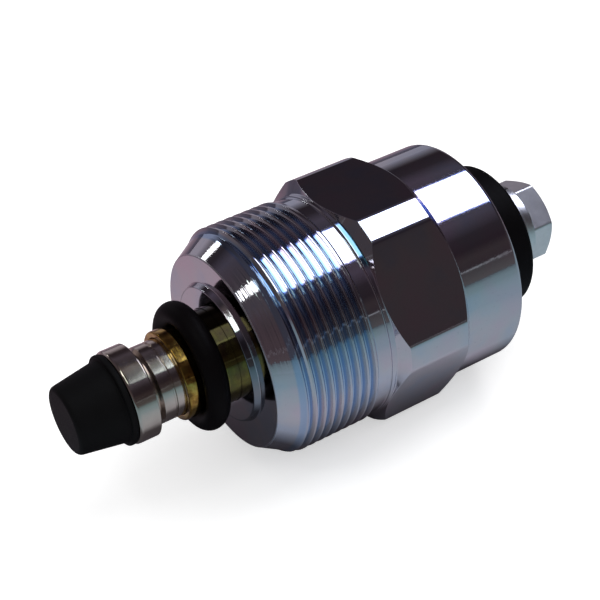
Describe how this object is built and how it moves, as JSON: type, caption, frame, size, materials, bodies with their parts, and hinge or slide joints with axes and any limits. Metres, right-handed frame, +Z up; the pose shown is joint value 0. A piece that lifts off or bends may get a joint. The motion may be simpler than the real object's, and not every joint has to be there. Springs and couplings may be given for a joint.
{
  "type": "fuel shut-off solenoid",
  "caption": "Screw-in fuel shut-off solenoid with a threaded hexagon body, a sprung plunger with a rubber tip, a sealed brass nose and a rear stud terminal with its nut.",
  "frame": {"origin": "on the solenoid's axis at the rear end of its mounting thread, 2.15 mm ahead of the hexagon", "axes": "+X along the axis towards the electrical terminal, +Z up with one hexagon flat facing down, +Y completes the right-handed set"},
  "size_m": [0.0565, 0.0264, 0.024],
  "materials": {
    "zinc_steel": "bright zinc plating, lightly machined",
    "nickel_steel": "bright nickel plating",
    "brass": "turned",
    "black_rubber": "satin",
    "tip_rubber": "matt",
    "spring_steel": "drawn wire",
    "soft_iron": "turned",
    "copper": "enamelled wire",
    "nylon": "moulded",
    "tape": "tape",
    "cap_plastic": "moulded",
    "plated_steel": "plated",
    "sleeve": "sleeve"
  },
  "bodies": {
    "solenoid_body": {"housing": "zinc_steel", "guide_tube": "brass", "nose_o_ring": "black_rubber", "tube_seal": "black_rubber", "return_spring": "spring_steel", "fixed_core": "soft_iron", "core_shim": "copper", "core_o_ring": "black_rubber", "bobbin": "nylon", "coil_winding": "copper", "coil_wrap": "tape", "pole_plate": "soft_iron", "cap_gasket": "black_rubber", "terminal_cap": "cap_plastic", "stud_o_ring": "black_rubber", "terminal_stud": "plated_steel", "contact_tag": "brass", "live_lead": "copper", "lead_sleeve": "sleeve", "earth_lead": "copper"},
    "plunger_assembly": {"plunger": "nickel_steel", "rubber_tip": "tip_rubber"},
    "terminal_washers": {"plain_washer": "plated_steel", "lock_washer": "plated_steel"},
    "terminal_nut": {"terminal_nut": "plated_steel"}
  },
  "joints": [
    {"name": "plunger_slide", "type": "slide", "parent": "solenoid_body", "child": "plunger_assembly", "axis": [1, 0, 0], "range_m": [0, 0.0019], "stiffness_N_per_m": 800, "springref_m": -0.006, "deforming": ["return_spring"]},
    {"name": "washer_lift", "type": "slide", "parent": "solenoid_body", "child": "terminal_washers", "axis": [1, 0, 0], "range_m": [0, 0.0024]},
    {"name": "nut_turn", "type": "hinge", "parent": "terminal_washers", "child": "terminal_nut", "pos_m": [0.0273, 0, 0], "axis": [1, 0, 0], "range_deg": [0, 1080.5]}
  ],
  "couplings": [
    {"joint": "nut_turn", "follows": "washer_lift", "rad_per_m": 7854}
  ]
}
